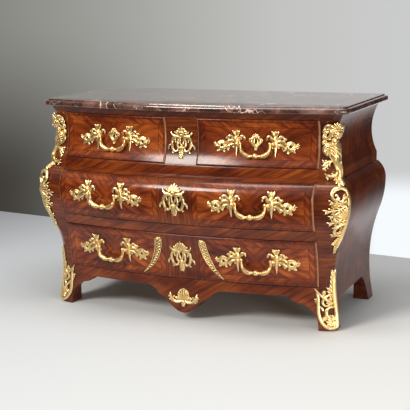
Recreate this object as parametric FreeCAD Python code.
import FreeCAD, Part
import math
import os

# Bombe chest of drawers (commode en tombeau): two short drawers over two long ones.
# Millimetres. +X runs to the right of someone who faces the chest, +Y to the wall, +Z up.
# The origin is on the floor, under the middle of the whole chest.

os.makedirs("parts", exist_ok=True)

V = FreeCAD.Vector
UP = V(0, 0, 1)
ORIGIN = V(0, 0, 0)

# ---- Driving dimensions: plan ---------------------------------------------------------------
bow_radius = 2630.0             # plan radius of the bowed front at the top rail
case_back = 344.0               # back plane of the case
opening_half = 540.0            # half the clear width between the front posts
stile_half = 66.0               # half the width of the stile between the short drawers
post_back = -137.0              # plane where the front posts end and the side panels begin
leg_front = 271.0               # plane where the side panels end and the rear legs begin
corner_cant = 12.5              # depth of the flat planed off the front corners

# ---- Driving dimensions: heights, stacked from the floor up ------------------------------------
row_bottom_low = 168.0          # underside of the bottom drawer's opening
row_bottom_height = 186.0
rail_lower_height = 41.0
row_middle_height = 181.0
rail_upper_height = 49.0
row_top_height = 182.0
top_rail_height = 23.0

# ---- Driving dimensions: where the bombe profile turns ------------------------------------------
hollow_drop = 3.0               # narrowest line above the feet, under the bottom opening
turn_rise = 31.0                # swell turns into hollow, above the bottom row
belly_drop = 61.0               # fullest line of the belly, under the top of the middle row
fascia_rise = 8.0               # upright band begins, above the middle row
fascia_drop = 3.0               # upright band ends, under the top row
waist_rise = 97.0               # narrowest line of the upper hollow, above the foot of the top row

# ---- Driving dimensions: the bombe profile at each of those heights ---------------------------
front_top = 282.0               # how far the front stands before the origin, at the centre line
front_waist = 257.0
front_fascia = 283.0
front_shoulder = 290.0
front_belly = 340.0
front_hollow = 265.0
front_foot = 275.0
side_top = 622.0                # how far the side stands from the centre line
side_waist = 589.0
side_fascia = 612.0
side_shoulder = 618.0
side_belly = 652.0
side_hollow = 588.0
side_foot = 606.0

# ---- Driving dimensions: timber ---------------------------------------------------------------
rail_inner = 224.0              # inner face of the rails, before the origin at the centre line
side_thickness = 24.0
board_thickness = 12.0          # dust boards, bottom board and back panel
sub_top_thickness = 18.0
front_thickness = 20.0          # least thickness of a drawer front
front_proud = 6.0               # drawer fronts stand before the rails
front_gap = 1.2                 # gap round each drawer front
box_inset = 14.0                # from the opening's side to the drawer box
drawer_side = 12.0              # thickness of drawer sides and backs
drawer_bottom = 8.0
groove_depth = 6.0              # how far the drawer bottom is let in
bottom_rise = 9.0               # from the drawer's underside to its bottom board
side_drop = 25.0                # drawer sides end this far under the rail above
back_drop = 35.0                # drawer backs end this far under the rail above
drawer_end = 32.0               # room between a drawer's back and the back of the case
running_gap = 0.3               # drawer box over its board, and beside its guides
guide_height = 25.0

# ---- Driving dimensions: marble ---------------------------------------------------------------
marble_side_overhang = 28.0     # marble beyond the top of each side
marble_back_overhang = 18.0     # marble behind the case
marble_overhang = 17.0          # nose of the marble before the top rail
marble_thickness = 27.5
marble_bevel = 6.0              # bevels over and under the nose
marble_arris = 5.5              # thin top layer of the moulded edge
marble_setback = 14.0           # how far that layer is set back from the nose
marble_corner = 42.0            # plan radius of the front corners

# ---- Driving dimensions: apron and lower edges --------------------------------------------------
pendant_drop = 138.0            # bottom of the apron's pendant, under the bottom opening
apron_depth = 38.0              # apron between its straight lower edge and the bottom opening
side_depth = 56.0               # straight lower edge of the side panels under the bottom opening
foot_rise = 14.0                # height at which the brackets leave the feet
apron_bracket = 79.0            # length of the apron's bracket beside the front foot
front_bracket = 90.0            # length of the side's bracket behind the front foot
rear_bracket = 50.0             # length of the side's bracket before the rear leg

# ---- Driving dimensions: locks --------------------------------------------------------------------
lock_width = 56.0
lock_below = 20.0               # lock case below the keyhole
lock_above = 32.0               # lock case above the keyhole
lock_sunk = 8.0                 # depth of the lock case in the drawer front
lock_proud = 6.0
bolt_width = 16.0
bolt_thickness = 6.0
bolt_start = 12.0               # bottom of the bolt above the keyhole
bolt_short = 0.5                # drawn back, the bolt ends this far below the drawer front's edge
bolt_travel = 10.0
bolt_slack = 0.1                # clearance round the bolt in its case and channel
mortise_slack = 1.0             # clearance round the bolt in the rail
keyhole_width = 5.0
keyhole_height = 14.0

# ---- Driving dimensions: handles ---------------------------------------------------------------------
handle_place = 303.0            # handle centre from the centre line, along the front
handle_place_bottom = 310.0
handle_rise_top = 98.0          # centre of the back plates above the foot of each row
handle_rise_middle = 110.0
handle_rise_bottom = 109.0
plate_place = 76.0              # back plate centre from the handle centre
plate_thickness = 5.0
pivot_drop = 8.0                # pivot line below the plate centre
post_place = 69.0               # pivot post from the handle centre
post_reach = 20.0               # pivot line before the drawer front
post_eye = 7.5                  # radius of the post's eye
post_eye_width = 11.0
post_shank = 4.0                # radius of the post's shank
nut_size = 14.0
nut_thickness = 5.0
nut_gap = 0.02                  # flat nut on the slightly hollow inner face of the front
shank_end = 1.0                 # shank that shows behind the nut
pin_radius = 2.5                # trunnion at each end of the bail
pin_clearance = 0.06
bail_half = 57.0                # half span of the bail, to the middle of its arm
bail_drop = 46.0                # pivot line to the middle of the bail's bar
bail_ball = 11.0                # radius of the bead in the middle

# ---- Driving dimensions: mounts -------------------------------------------------------------------------
mount_thickness = 6.0
corner_mount_thickness = 12.0
cast_deflection = 0.8           # the flats of a casting stray this far from the true outline
corner_wrap = 50.0              # from the belly's side to the middle of the mounts' hold on the front
stile_mount_rise = 86.0         # centre of each mount above the foot of its row
escutcheon_rise = 97.0
cartouche_rise_middle = 104.0
cartouche_rise_bottom = 97.0
crescent_rise = 109.0
crescent_place = 112.0          # crescent from the centre line, along the front
apron_mount_drop = 76.0         # centre of the apron's mount under the bottom opening
keyhole_lift = 6.0              # keyhole above the centre of a cartouche

# ---- Worked out from the above ------------------------------------------------------------------------------
row_bottom_high = row_bottom_low + row_bottom_height
row_middle_low = row_bottom_high + rail_lower_height
row_middle_high = row_middle_low + row_middle_height
row_top_low = row_middle_high + rail_upper_height
row_top_high = row_top_low + row_top_height
case_height = row_top_high + top_rail_height
hollow_height = row_bottom_low - hollow_drop
turn_height = row_bottom_high + turn_rise
belly_height = row_middle_high - belly_drop
fascia_bottom = row_middle_high + fascia_rise
fascia_top = row_top_low - fascia_drop
waist_height = row_top_low + waist_rise
apron_low = row_bottom_low - pendant_drop
apron_flat = row_bottom_low - apron_depth
side_flat = row_bottom_low - side_depth
marble_half = side_top + marble_side_overhang
marble_rear = case_back + marble_back_overhang
bow_centre = bow_radius - front_top
front_profile = (front_top, front_waist, front_fascia, front_shoulder, front_belly, front_hollow, front_foot)
side_profile = (side_top, side_waist, side_fascia, side_shoulder, side_belly, side_hollow, side_foot)
back_inner = case_back - board_thickness
FAR = 500.0                     # blanks are made this much larger than the case


# ---- The bombe outline -----------------------------------------------------------------------------------------
def arc_middle(upright, end):
    """Middle of the arc that is upright at its first point and ends at the second."""
    across = end[0] - upright[0]
    rise = end[1] - upright[1]
    radius = (across * across + rise * rise) / (2.0 * abs(across))
    half_turn = math.asin(min(1.0, abs(rise) / radius)) / 2.0
    centre = upright[0] + math.copysign(radius, across)
    middle_x = centre - math.copysign(radius, across) * math.cos(half_turn)
    return (middle_x, upright[1] + math.copysign(radius, rise) * math.sin(half_turn))


def upright_arc(upright, end):
    """An arc that is upright at its first point and ends at the second, both (reach, height)."""
    middle = arc_middle(upright, end)
    start = V(upright[0], 0, upright[1])
    return Part.Arc(start, V(middle[0], 0, middle[1]), V(end[0], 0, end[1])).toShape()


def turn_reach(belly, hollow):
    """Where the belly's arc meets the hollow's arc with one shared tangent."""
    span = belly_height - hollow_height
    across = belly - hollow
    both_radii = (span * span + across * across) / (2.0 * across)
    radius = both_radii * (belly_height - turn_height) / span
    return belly - radius + math.sqrt(radius * radius - (belly_height - turn_height) ** 2)


def line(start, end):
    return Part.LineSegment(V(start[0], 0, start[1]), V(end[0], 0, end[1])).toShape()


def profile_edges(profile, offset=0.0):
    """The bombe outline from floor to marble in the XZ plane, moved out by offset."""
    top, waist, fascia, shoulder, belly, hollow, foot = [reach + offset for reach in profile]
    turn = turn_reach(belly, hollow)
    cavetto = Part.Arc(V(fascia, 0, fascia_top), V(waist, 0, waist_height), V(top, 0, case_height))
    return [
        upright_arc((hollow, hollow_height), (foot, 0.0)),
        upright_arc((hollow, hollow_height), (turn, turn_height)),
        upright_arc((belly, belly_height), (turn, turn_height)),
        upright_arc((belly, belly_height), (shoulder, fascia_bottom)),
        line((shoulder, fascia_bottom), (fascia, fascia_bottom)),
        line((fascia, fascia_bottom), (fascia, fascia_top)),
        cavetto.toShape(),
    ]


def reach_at(height, profile):
    """Reach of the bombe outline at one height, found where a level line crosses it."""
    level = line((0.0, height), (2.0 * FAR, height))
    hits = []
    for edge in profile_edges(profile):
        gap, pairs, info = edge.distToShape(level)
        if gap < 0.001:
            hits.extend(pair[0].x for pair in pairs)
    return max(hits)


def flattened(edges, deflection):
    """The same outline in straight flats within the deflection of it, closer on tight arcs."""
    flats = []
    for edge in edges:
        count = 1
        if edge.Curve.TypeId == "Part::GeomCircle":
            radius = edge.Curve.Radius
            step = 2.0 * math.acos(1.0 - min(deflection / radius, 1.0 / 300.0))
            count = math.ceil(edge.Length / radius / step)
        points = edge.discretize(count + 1)
        flats.extend(Part.LineSegment(a, b).toShape() for a, b in zip(points, points[1:]))
    return flats


def profile_face(profile, inner, offset, deflection=0.0):
    """Face between the bombe outline and the upright line at reach inner."""
    top = profile[0] + offset
    foot = profile[-1] + offset
    outline = profile_edges(profile, offset)
    if deflection:
        outline = flattened(outline, deflection)
    rim = [line((top, case_height), (inner, case_height)), line((inner, case_height), (inner, 0.0))]
    rim.append(line((inner, 0.0), (foot, 0.0)))
    return Part.Face(Part.Wire(Part.__sortEdges__(outline + rim)))


def front_solid(offset=0.0):
    """Everything behind the bowed front, which is a surface of revolution."""
    face = profile_face(front_profile, -case_back - FAR, offset)
    face.rotate(ORIGIN, UP, -90.0)
    sweep = 2.0 * math.degrees(math.asin((side_belly + FAR / 2.0) / bow_radius))
    face.rotate(V(0, bow_centre, 0), UP, -sweep / 2.0)
    return face.revolve(V(0, bow_centre, 0), UP, sweep)


def cast_front(offset):
    """The front's outline in flats, drawn straight across: the mounts are cast on it."""
    face = profile_face(front_profile, -FAR, offset + cast_deflection, cast_deflection)
    face.translate(V(0, -FAR, 0))
    solid = face.extrude(V(0, 2.0 * FAR, 0))
    solid.rotate(ORIGIN, UP, -90.0)
    return solid


def side_solid(offset=0.0, deflection=0.0):
    """Everything between the two bombe sides."""
    right = profile_face(side_profile, 0.0, offset, deflection)
    right.translate(V(0, -2.0 * FAR, 0))
    half = right.extrude(V(0, 4.0 * FAR, 0))
    return half.fuse(half.mirror(ORIGIN, V(1, 0, 0))).removeSplitter()


def corner_point(front_reach, side_reach):
    """Plan position of the right front corner for one pair of reaches."""
    radius = bow_centre + front_reach
    return V(side_reach, bow_centre - math.sqrt(radius * radius - side_reach * side_reach), 0)


def right_cant(offset=0.0, deflection=0.0):
    """Everything inside the flat on the right front corner."""
    reaches = []
    for front_reach, side_reach in zip(front_profile, side_profile):
        corner = corner_point(front_reach, side_reach)
        reaches.append((corner.x - corner.y) / math.sqrt(2.0) - corner_cant)
    face = profile_face(reaches, -2.0 * FAR, offset, deflection)
    face.translate(V(0, -3.0 * FAR, 0))
    solid = face.extrude(V(0, 6.0 * FAR, 0))
    solid.rotate(ORIGIN, UP, -45.0)
    return solid


def case_solid():
    """The whole case as one block, from which each piece of the carcass is cut."""
    cant = right_cant()
    return front_solid().common(side_solid()).common(cant).common(cant.mirror(ORIGIN, V(1, 0, 0)))


case_block = case_solid()
inner_sides = side_solid(-side_thickness)
drawer_face = front_solid(front_proud)


# ---- Small shapes -------------------------------------------------------------------------------------------------
def block(x_range, y_range, z_range):
    low = V(x_range[0], y_range[0], z_range[0])
    return Part.makeBox(x_range[1] - x_range[0], y_range[1] - y_range[0], z_range[1] - z_range[0], low)


def bow_cylinder(reach):
    """Upright cylinder about the bow's centre, tangent to the plane at reach before the origin."""
    return Part.makeCylinder(bow_centre + reach, case_height + FAR, V(0, bow_centre, -FAR / 2.0), UP)


def along_front(shape, distance):
    """A copy of a shape made at the centre line, swung along the bow by a distance."""
    placed = shape.copy()
    placed.rotate(V(0, bow_centre, 0), UP, math.degrees(distance / bow_radius))
    return placed


def mirrored(shape):
    return shape.mirror(ORIGIN, V(1, 0, 0))


def outline_edges(start, steps, chords=0):
    """Edges in the XZ plane. A step of one point is a line, a step of two an arc through the first.

    With chords, each arc is made of that many straight facets, as on the small castings.
    """
    edges = []
    here = V(start[0], 0, start[1])
    for step in steps:
        there = V(step[-1][0], 0, step[-1][1])
        if len(step) == 1:
            points = [here, there]
        else:
            arc = Part.Arc(here, V(step[0][0], 0, step[0][1]), there).toShape()
            points = arc.discretize(chords + 1) if chords else []
        if points:
            edges.extend(Part.LineSegment(a, b).toShape() for a, b in zip(points, points[1:]))
        else:
            edges.append(arc)
        here = there
    return edges


def outline_face(start, *steps, chords=0):
    """A closed face in the XZ plane, see outline_edges."""
    edges = outline_edges(start, steps, chords)
    end = V(steps[-1][-1][0], 0, steps[-1][-1][1])
    first = V(start[0], 0, start[1])
    if end.distanceToPoint(first) > 0.001:
        edges.append(Part.LineSegment(end, first).toShape())
    return Part.Face(Part.Wire(edges))


def even_face(start, *steps, chords=0):
    """A closed face in the XZ plane that is the same on both sides of X = 0."""
    edges = outline_edges(start, steps, chords)
    both = edges + [edge.mirror(ORIGIN, V(1, 0, 0)) for edge in edges]
    return Part.Face(Part.Wire(Part.__sortEdges__(both)))


def round_face(x, z, radius, sides):
    """A regular polygon about (x, z)."""
    points = []
    for number in range(sides + 1):
        angle = 2.0 * math.pi * (number + 0.5) / sides
        points.append(V(x + radius * math.cos(angle), 0, z + radius * math.sin(angle)))
    return Part.Face(Part.makePolygon(points))


def prism(face, x=0.0, z=0.0):
    """The face moved to (x, z) and drawn forward from the middle of the case."""
    moved = face.copy()
    moved.translate(V(x, 0, z))
    solid = moved.extrude(V(0, -FAR, 0))
    return solid


def joined(solids):
    shape = solids[0]
    for solid in solids[1:]:
        shape = shape.fuse(solid)
    return shape.removeSplitter()


def ring(centre, across, radius, sides):
    """Corners of a regular polygon about centre, square to the direction across."""
    direction = V(across)
    direction.normalize()
    first = V(0, 1, 0) if abs(direction.y) < 0.9 else V(1, 0, 0)
    second = direction.cross(first)
    points = []
    for number in range(sides):
        angle = 2.0 * math.pi * (number + 0.5) / sides
        points.append(centre + first * (radius * math.cos(angle)) + second * (radius * math.sin(angle)))
    return points


def flat(*points):
    return Part.Face(Part.makePolygon(list(points) + [points[0]]))


def faceted_bar(stations, sides=6):
    """A bar of changing thickness along points, flat-sided, with a ring at each (point, radius)."""
    rings = []
    for number, (point, radius) in enumerate(stations):
        before = stations[max(number - 1, 0)][0]
        after = stations[min(number + 1, len(stations) - 1)][0]
        rings.append(ring(point, after - before, radius, sides))
    faces = [flat(*reversed(rings[0])), flat(*rings[-1])]
    for lower, upper in zip(rings, rings[1:]):
        for here in range(sides):
            there = (here + 1) % sides
            faces.append(flat(lower[here], lower[there], upper[there]))
            faces.append(flat(lower[here], upper[there], upper[here]))
    return Part.makeSolid(Part.makeShell(faces)).removeSplitter()


def save(name, *solids):
    shape = solids[0] if len(solids) == 1 else Part.makeCompound(list(solids))
    shape.exportStep("parts/" + name + ".step")
    saved.append(name)


saved = []


# ---- Carcass ---------------------------------------------------------------------------------------------------------
def front_post():
    blank = block((opening_half, side_belly + FAR), (-FAR, post_back), (0, case_height))
    return blank.common(case_block)


def rear_leg():
    blank = block((opening_half, side_belly + FAR), (leg_front, case_back), (0, case_height))
    return blank.common(case_block)


def side_panel():
    """Bombe side between post and leg, with brackets under its ends."""
    front_toe, rear_toe = (post_back, foot_rise), (leg_front, foot_rise)
    front_end, rear_end = (post_back + front_bracket, side_flat), (leg_front - rear_bracket, side_flat)
    lower = outline_face(
        (post_back, case_height),
        (front_toe,),
        (arc_middle(front_toe, front_end), front_end),
        (rear_end,),
        (arc_middle(rear_toe, rear_end), rear_toe),
        ((leg_front, case_height),),
    )
    lower.rotate(ORIGIN, UP, 90.0)
    blank = lower.extrude(V(side_belly + FAR, 0, 0))
    return blank.common(case_block).cut(inner_sides)


def rail(low, high, half_width, bolts=()):
    """A piece of the front between two heights, with a mortise over each lock bolt."""
    blank = block((-half_width, half_width), (-FAR, 0), (low, high))
    piece = blank.common(case_block).cut(bow_cylinder(rail_inner))
    for bolt in bolts:
        piece = piece.cut(bolt)
    return piece


def apron():
    """Front below the bottom drawer, with foot brackets and a centre pendant."""
    foot, knee = (opening_half, foot_rise), (opening_half - apron_bracket, 104)
    outline = even_face(
        (0, row_bottom_low),
        ((opening_half, row_bottom_low),),
        (foot,),
        (arc_middle(foot, knee), knee),
        ((438, 113), (420, apron_flat)),
        ((160, apron_flat),),
        ((131, 120), (112, 100)),
        ((97, 91), (80, 84)),
        ((56, 57), (25, apron_low + 6)),
        ((12, apron_low + 1.5), (0, apron_low)),
    )
    blank = outline.extrude(V(0, -FAR, 0))
    return blank.common(case_block).cut(bow_cylinder(rail_inner))


def board(low, high):
    """A level board that fills the case behind the rails."""
    blank = block((-side_belly, side_belly), (-FAR, back_inner), (low, high))
    piece = blank.common(inner_sides).common(bow_cylinder(rail_inner))
    for x_range in ((opening_half, side_belly + FAR), (-side_belly - FAR, -opening_half)):
        piece = piece.cut(block(x_range, (-FAR, post_back), (low, high)))
        piece = piece.cut(block(x_range, (leg_front, case_back), (low, high)))
    return piece


def drawer_guides():
    """Strips beside each row of drawers, and one between the two short drawers."""
    strips = []
    inner = opening_half - box_inset + running_gap
    for low in (row_top_low, row_middle_low, row_bottom_low):
        strip = block((inner, opening_half), (-FAR, back_inner), (low, low + guide_height))
        strip = strip.common(bow_cylinder(rail_inner))
        strips.append(strip)
        strips.append(mirrored(strip))
    half = stile_half + box_inset - running_gap
    centre = block((-half, half), (-FAR, back_inner), (row_top_low, row_top_low + guide_height))
    strips.append(centre.common(bow_cylinder(rail_inner)))
    return strips


def marble_top():
    """Slab with a bevelled nose and a thin arris set back from it, square at the wall."""
    def slab(inset, low, high):
        half = marble_half - inset
        radius = bow_radius + marble_overhang - inset
        disc_solid = Part.makeCylinder(radius, high - low, V(0, bow_centre, low), UP)
        blank = block((-half, half), (-FAR, marble_rear), (low, high)).common(disc_solid)
        corners = []
        for edge in blank.Edges:
            middle = edge.CenterOfMass
            upright = abs(edge.Vertexes[0].Z - edge.Vertexes[-1].Z) > (high - low) / 2.0
            if upright and middle.y < 0:
                corners.append(edge)
        return blank.makeFillet(marble_corner - inset, corners)

    nose_top = case_height + marble_thickness - marble_arris
    nose = slab(0.0, case_height, nose_top)
    rims = []
    for edge in nose.Edges:
        level = abs(edge.Vertexes[0].Z - edge.Vertexes[-1].Z) < 0.001
        if level and edge.CenterOfMass.y < marble_rear - 1.0:
            rims.append(edge)
    nose = nose.makeChamfer(marble_bevel, rims)
    return nose.fuse(slab(marble_setback, nose_top, nose_top + marble_arris)).removeSplitter()


# ---- Locks --------------------------------------------------------------------------------------------------------------
class Row:
    """One row of drawers: its heights, the inner face of its fronts and its keyhole."""

    def __init__(self, low, high, keyhole, handle):
        self.low = low
        self.high = high
        self.keyhole = keyhole
        self.handle = handle
        reaches = [reach_at(low, front_profile), reach_at(high, front_profile)]
        if low < waist_height < high:
            reaches.append(front_waist)
        self.inner = min(reaches) - front_thickness
        self.surface = reach_at(handle, front_profile) + front_proud


cartouche_middle = row_middle_low + cartouche_rise_middle
cartouche_bottom = row_bottom_low + cartouche_rise_bottom
escutcheon_height = row_top_low + escutcheon_rise
rows = {
    "top": Row(row_top_low, row_top_high, escutcheon_height, row_top_low + handle_rise_top),
    "middle": Row(row_middle_low, row_middle_high, cartouche_middle + keyhole_lift,
                  row_middle_low + handle_rise_middle),
    "bottom": Row(row_bottom_low, row_bottom_high, cartouche_bottom + keyhole_lift,
                  row_bottom_low + handle_rise_bottom),
}


def lock_bolt(row, slack=0.0, extra=0.0):
    """The bolt drawn back; slack widens it to make its channel, extra lengthens it upwards."""
    half = bolt_width / 2.0 + slack
    top = row.high - front_gap - bolt_short + extra
    return block((-half, half), (-row.inner - bolt_thickness - slack, -row.inner + slack),
                 (row.keyhole + bolt_start - slack, top))


def lock_case(row):
    half = lock_width / 2.0
    case = block((-half, half), (-row.inner - lock_sunk, -row.inner + lock_proud),
                 (row.keyhole - lock_below, row.keyhole + lock_above))
    return case


def keyhole(row):
    half = keyhole_width / 2.0
    return block((-half, half), (-FAR, -row.inner),
                 (row.keyhole - keyhole_height / 2.0, row.keyhole + keyhole_height / 2.0))


def mortise(row, distance=0.0):
    """Hole in the rail above a row that takes the thrown bolt."""
    half = bolt_width / 2.0 + mortise_slack
    hole = block((-half, half), (-row.inner - bolt_thickness - mortise_slack, -row.inner + mortise_slack),
                 (row.high - mortise_slack, row.high + bolt_travel + mortise_slack))
    return along_front(hole, distance)


# ---- Drawers --------------------------------------------------------------------------------------------------------------
def drawer_front(row, x_range, fittings):
    """Bombe front, cut for everything let into it or passed through it."""
    x_low, x_high = x_range[0] + front_gap, x_range[1] - front_gap
    z_low, z_high = row.low + front_gap, row.high - front_gap
    blank = block((x_low, x_high), (-FAR, 0), (z_low, z_high))
    front = blank.common(drawer_face).cut(bow_cylinder(row.inner))
    for fitting in fittings:
        front = front.cut(fitting)
    return front


def drawer_box(row, x_range):
    """Two sides and a back, grooved for the bottom; returns the box's solids and the bottom."""
    low = row.low + running_gap
    left, right = x_range[0] + box_inset, x_range[1] - box_inset
    end = back_inner - drawer_end + board_thickness
    inside = bow_cylinder(row.inner)
    inner_left, inner_right = left + drawer_side, right - drawer_side
    bottom_low = low + bottom_rise
    bottom_blank = block((inner_left - groove_depth, inner_right + groove_depth),
                         (-FAR, end - drawer_side + groove_depth), (bottom_low, bottom_low + drawer_bottom))
    bottom = bottom_blank.common(bow_cylinder(row.inner + groove_depth))
    sides_top = row.high - side_drop
    solids = []
    for x_pair in ((left, inner_left), (inner_right, right)):
        solids.append(block(x_pair, (-FAR, end), (low, sides_top)).common(inside).cut(bottom))
    back = block((inner_left, inner_right), (end - drawer_side, end), (low, row.high - back_drop))
    solids.append(back.cut(bottom))
    return solids, bottom


# ---- Handles ----------------------------------------------------------------------------------------------------------------
def plate_solids(height):
    """Right-hand back plate about its centre, each part drawn forward: plume, leaves, drop, wreath."""
    core = outline_face((-15, 3), ((-9, 20),), ((9, 20),), ((15, 3),), ((9, -24),), ((-9, -24),))
    plume = outline_face((-6, 18), ((-14, 38),), ((-9, 44),), ((9, 44),), ((14, 38),), ((6, 18),))
    drop = outline_face((-9, -20), ((0, -61),), ((9, -20),))
    curl_in = outline_face((-11, 6), ((-21, 16),), ((-34, 4),), ((-35, 19),), ((-22, 27),), ((-8, 16),))
    stem = outline_face((10, 0), ((26, 4),), ((42, -4),), ((42, -26),), ((10, -16),))
    wreath = round_face(58, -18, 25, 10).cut(round_face(58, -18, 7, 6))
    tip = outline_face((74, -32), ((90, -18),), ((87, -2),), ((74, -8),))
    faces = [core, plume, drop, curl_in, mirrored(curl_in), stem, wreath, tip]
    return [prism(face, 0.0, height) for face in faces]


def shank_hole(row, side):
    """Square hole for one post's shank, beside the middle of a handle at the centre line."""
    pivot_z = row.handle - pivot_drop
    hole = block((-post_shank, post_shank), (-FAR, 0), (pivot_z - post_shank, pivot_z + post_shank))
    hole.translate(V(side * post_place, 0, 0))
    return hole


def handle_plates(row):
    """The two plates of one handle at the centre line, seated on the bombe drawer front."""
    plate = front_mount(joined(plate_solids(row.handle)), front_proud, plate_thickness)
    right = along_front(plate, plate_place).cut(shank_hole(row, 1.0))
    left = along_front(mirrored(plate), -plate_place).cut(shank_hole(row, -1.0))
    return [right, left]


def handle_posts(row):
    """The pivot posts of one handle, square shanks through the front, and the nuts inside."""
    pivot_y = -(row.surface + post_reach)
    pivot_z = row.handle - pivot_drop
    half = nut_size / 2.0
    half_width = post_eye_width / 2.0
    inside = bow_centre + row.inner
    seat = bow_centre - math.sqrt(inside ** 2 - (post_place + half) ** 2) + nut_gap
    solids = []
    for side in (1.0, -1.0):
        ends = [V(-half_width, pivot_y, pivot_z), V(half_width, pivot_y, pivot_z)]
        eye = faceted_bar([(end, post_eye) for end in ends], 8)
        bore = Part.makeCylinder(pin_radius + pin_clearance, 2.0 * post_eye_width,
                                 V(-post_eye_width, pivot_y, pivot_z), V(1, 0, 0))
        shank = block((-post_shank, post_shank), (pivot_y, seat + nut_thickness + shank_end),
                      (pivot_z - post_shank, pivot_z + post_shank))
        nut = block((-half, half), (seat, seat + nut_thickness), (pivot_z - half, pivot_z + half)).cut(shank)
        post = eye.fuse(shank).removeSplitter().cut(bore)
        for solid in (post, nut):
            solid.translate(V(side * post_place, 0, 0))
            solids.append(solid)
    return solids


def bail_arm():
    """Right half of the bail's bar about its pivot line, swelling to a leaf near the bottom."""
    low = -bail_drop
    bar = [
        (V(bail_half, 0, 6), 5.0),
        (V(bail_half, 0, -12), 4.5),
        (V(bail_half - 6, 0, low + 18), 6.5),
        (V(bail_half - 21, 0, low + 4), 8.0),
        (V(bail_half - 36, 0, low), 5.0),
        (V(bail_ball / 2.0, 0, low), 3.5),
    ]
    return faceted_bar(bar)


def bail(row):
    """The drop handle: two arms with trunnions and a turned bead between them."""
    pin_length = post_place - bail_half + post_eye_width / 2.0
    pin = Part.makeCylinder(pin_radius, pin_length, V(bail_half, 0, 0), V(1, 0, 0))
    low = -bail_drop
    bead = [(V(-bail_ball, 0, low), bail_ball / 2.0), (V(-bail_ball / 2.0, 0, low), bail_ball),
            (V(bail_ball / 2.0, 0, low), bail_ball), (V(bail_ball, 0, low), bail_ball / 2.0)]
    half = bail_arm().fuse(pin)
    whole = half.fuse(mirrored(half)).fuse(faceted_bar(bead, 8)).removeSplitter()
    whole.translate(V(0, -(row.surface + post_reach), row.handle - pivot_drop))
    return whole


# ---- Mounts --------------------------------------------------------------------------------------------------------------------
def cartouche_solid(height):
    """Palmette, lyre body with side curls, and a leaf drop, about its centre."""
    body = even_face(
        (0, 62),
        ((16, 58),),
        ((25, 36),),
        ((42, 42),),
        ((34, 24),),
        ((40, 8),),
        ((40, -12),),
        ((57, -18),),
        ((54, -30),),
        ((38, -24),),
        ((28, -42),),
        ((9, -42),),
        ((0, -62),),
    )
    slot = outline_face((18, 14), ((26, 12),), ((25, -14),), ((17, -18),))
    return prism(body.cut(slot).cut(mirrored(slot)), 0.0, height)


def front_mount(solid, seat, thickness):
    """A drawn-out outline trimmed to a casting that stands a thickness before its seat."""
    return solid.common(cast_front(seat + thickness)).cut(cast_front(seat)).removeSplitter()


def escutcheon_solid(height):
    face = even_face((0, 33), ((14, 28),), ((26, 6),), ((24, -6),), ((0, -33),))
    return prism(face, 0.0, height)


def crescent_shape():
    """Tusk-shaped mount beside the middle of the bottom drawer, about its middle."""
    face = outline_face((-33, 45), ((-18, 59), (-4, 45)), ((11, -10), (63, -98)), ((-17, -24), (-33, 45)),
                        chords=3)
    return prism(face, 0.0, row_bottom_low + crescent_rise)


def apron_mount_solid(height):
    wing = outline_face((12, 12), ((36, 20),), ((63, 8),), ((58, -4),), ((28, -20),), ((12, -18),))
    shell = even_face((0, 34), ((18, 24),), ((24, 0),), ((16, -26),), ((0, -35),))
    right = prism(wing, 0.0, height)
    return joined([prism(shell, 0.0, height), right, mirrored(right)])


def corner_point_at(height):
    return corner_point(reach_at(height, front_profile), reach_at(height, side_profile))


def corner_block(offset):
    """The right front corner in flats, on which its mounts are cast."""
    swing = math.degrees(math.asin((side_belly - corner_wrap) / bow_radius))
    front = cast_front(offset)
    front.rotate(V(0, bow_centre, 0), UP, swing)
    grown = offset + cast_deflection
    return front.common(side_solid(grown, cast_deflection)).common(right_cant(grown, cast_deflection))


corner_seat = corner_block(0.0)
corner_grown = corner_block(corner_mount_thickness)


def corner_mount(face, height):
    """An outline wrapped round the right front corner; its own X runs from front to side."""
    corner = corner_point_at(height)
    shape = face.copy()
    shape.translate(V((corner.x + corner.y) / math.sqrt(2.0), 0, 0))
    shape = shape.extrude(V(0, -2.0 * FAR, 0))
    shape.rotate(ORIGIN, UP, 45.0)
    return shape.common(corner_grown).cut(corner_seat)


def corner_place(height, stand):
    """Point on the right corner's diagonal, a distance before the flat."""
    corner = corner_point_at(height)
    forward = V(1, -1, 0) * (1.0 / math.sqrt(2.0))
    return V(corner.x, corner.y, height) + forward * (stand - corner_cant)


def corner_bust():
    """Draped bust with a feathered headdress over a tapering term."""
    body = outline_face(
        (0, 807),
        ((25, 803),),
        ((36, 782),),
        ((30, 752),),
        ((18, 740),),
        ((28, 716),),
        ((28, 690),),
        ((20, 650),),
        ((25, 618),),
        ((16, 588),),
        ((4, 566),),
        ((-8, 566),),
        ((-20, 588),),
        ((-40, 598),),
        ((-46, 618),),
        ((-44, 640),),
        ((-26, 656),),
        ((-36, 690),),
        ((-37, 722),),
        ((-28, 738),),
        ((-38, 752),),
        ((-38, 782),),
        ((-25, 803),),
    )
    wrap = corner_mount(body, 690.0)
    figure = [(802, 6, 11), (793, 8, 21), (770, 12, 24), (750, 11, 19), (738, 6, 12), (726, 4, 12), (715, 3, 21),
              (698, 5, 23), (676, 3, 19), (652, 2, 13), (625, 4, 11), (594, 8, 10), (571, 10, 7)]
    stations = [(corner_place(height, stand), radius) for height, stand, radius in figure]
    return wrap.fuse(faceted_bar(stations, 8).cut(corner_seat)).removeSplitter()


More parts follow.
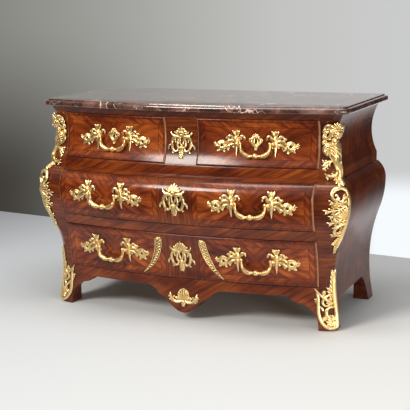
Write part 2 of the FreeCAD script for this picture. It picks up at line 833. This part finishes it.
def corner_drop():
    """Acanthus casting that runs down the belly to a point, with pierced openings."""
    body = outline_face(
        (0, 562),
        ((20, 558),),
        ((30, 530),),
        ((32, 486),),
        ((24, 440),),
        ((10, 370),),
        ((-4, 306),),
        ((-14, 340),),
        ((-30, 384),),
        ((-24, 408),),
        ((-46, 428),),
        ((-42, 452),),
        ((-62, 474),),
        ((-48, 496),),
        ((-54, 520),),
        ((-44, 546),),
        ((-22, 561),),
    )
    for x, z, radius in ((-26, 520, 7.0), (-20, 458, 8.0), (-10, 396, 8.0)):
        body = body.cut(round_face(x, z, radius, 6))
    return corner_mount(body, 470.0)


def foot_mount():
    """Sabot: a leaf spike over a rounded shell, with two open scrolls on the front."""
    body = outline_face(
        (10, 8),
        ((26, 18),),
        ((28, 40),),
        ((20, 62),),
        ((22, 120),),
        ((14, 152),),
        ((6, 236),),
        ((-8, 160),),
        ((-26, 158),),
        ((-40, 136),),
        ((-66, 168),),
        ((-60, 140),),
        ((-50, 118),),
        ((-52, 94),),
        ((-54, 62),),
        ((-40, 34),),
        ((-16, 10),),
    )
    upper = outline_face((-36, 104), ((-34, 132),), ((-14, 146),), ((-10, 126),), ((-20, 104),))
    lower = outline_face((-40, 84), ((-42, 60),), ((-26, 40),), ((-14, 60),), ((-22, 80),))
    return corner_mount(body.cut(upper).cut(lower), 110.0)


# ---- Build: carcass ------------------------------------------------------------------------------------------------------------
post = front_post()
leg = rear_leg()
panel = side_panel()
top_mortises = [mortise(rows["top"], handle_place), mortise(rows["top"], -handle_place)]
save("marble_top", marble_top())
save("post_front_right", post)
save("post_front_left", mirrored(post))
save("rear_legs", leg, mirrored(leg))
save("side_right", panel)
save("side_left", mirrored(panel))
save("back_panel", block((-opening_half, opening_half), (back_inner, case_back), (side_flat, case_height)))
save("top_rail", rail(row_top_high, case_height, opening_half, top_mortises))
save("rail_upper", rail(row_middle_high, row_top_low, opening_half, [mortise(rows["middle"])]))
save("rail_lower", rail(row_bottom_high, row_middle_low, opening_half, [mortise(rows["bottom"])]))
save("centre_stile", rail(row_top_low, row_top_high, stile_half))
save("apron", apron())
save("sub_top", board(case_height - sub_top_thickness, case_height))
save("dust_boards", board(row_top_low - board_thickness, row_top_low),
     board(row_middle_low - board_thickness, row_middle_low))
save("bottom_board", board(row_bottom_low - board_thickness, row_bottom_low))
save("drawer_guides", *drawer_guides())

# ---- Build: mounts on the carcass -----------------------------------------------------------------------------------------------
bust = corner_bust()
drop = corner_drop()
sabot = foot_mount()
save("corner_busts", bust, mirrored(bust))
save("corner_drops", drop, mirrored(drop))
save("foot_mounts", sabot, mirrored(sabot))
save("stile_mount", front_mount(cartouche_solid(row_top_low + stile_mount_rise), 0.0, mount_thickness))
save("apron_mount", front_mount(apron_mount_solid(row_bottom_low - apron_mount_drop), 0.0, mount_thickness))


# ---- Build: drawers ------------------------------------------------------------------------------------------------------------------
def build_drawer(name, row, x_range, lock_place, handles, plate_solid, bail_names):
    """Save every piece of one drawer; places along the front are distances along the bow."""
    case = along_front(lock_case(row), lock_place)
    channel = along_front(lock_bolt(row, bolt_slack, bolt_travel), lock_place)
    key = along_front(keyhole(row), lock_place)
    fittings = [case, channel, key]
    for place in handles:
        fittings.extend(along_front(shank_hole(row, side), place) for side in (1.0, -1.0))
    solids, bottom = drawer_box(row, x_range)
    fittings.append(bottom)
    save("drawer_" + name + "_front", drawer_front(row, x_range, fittings))
    save("drawer_" + name + "_box", *solids)
    save("drawer_" + name + "_bottom", bottom)
    save("lock_case_" + name, case.cut(channel))
    save("lock_bolt_" + name, along_front(lock_bolt(row), lock_place))
    plate = front_mount(plate_solid, front_proud, mount_thickness)
    save("escutcheon_" + name, along_front(plate, lock_place).cut(key))
    plates = handle_plates(row)
    posts = handle_posts(row)
    save("handle_plates_" + name, *[along_front(solid, place) for place in handles for solid in plates])
    save("handle_posts_" + name, *[along_front(solid, place) for place in handles for solid in posts])
    for bail_name, place in zip(bail_names, handles):
        save(bail_name, along_front(bail(row), place))


left_range = (-opening_half, -stile_half)
right_range = (stile_half, opening_half)
full_range = (-opening_half, opening_half)
pair = (-handle_place, handle_place)
pair_bottom = (-handle_place_bottom, handle_place_bottom)
top_plate = escutcheon_solid(escutcheon_height)
build_drawer("top_left", rows["top"], left_range, -handle_place, (-handle_place,), top_plate,
             ("bail_top_left",))
build_drawer("top_right", rows["top"], right_range, handle_place, (handle_place,), top_plate,
             ("bail_top_right",))
build_drawer("middle", rows["middle"], full_range, 0.0, pair, cartouche_solid(cartouche_middle),
             ("bail_middle_left", "bail_middle_right"))
build_drawer("bottom", rows["bottom"], full_range, 0.0, pair_bottom, cartouche_solid(cartouche_bottom),
             ("bail_bottom_left", "bail_bottom_right"))
crescent = along_front(front_mount(crescent_shape(), front_proud, mount_thickness), crescent_place)
save("crescent_mounts", crescent, mirrored(crescent))

print(len(saved), "nodes written")
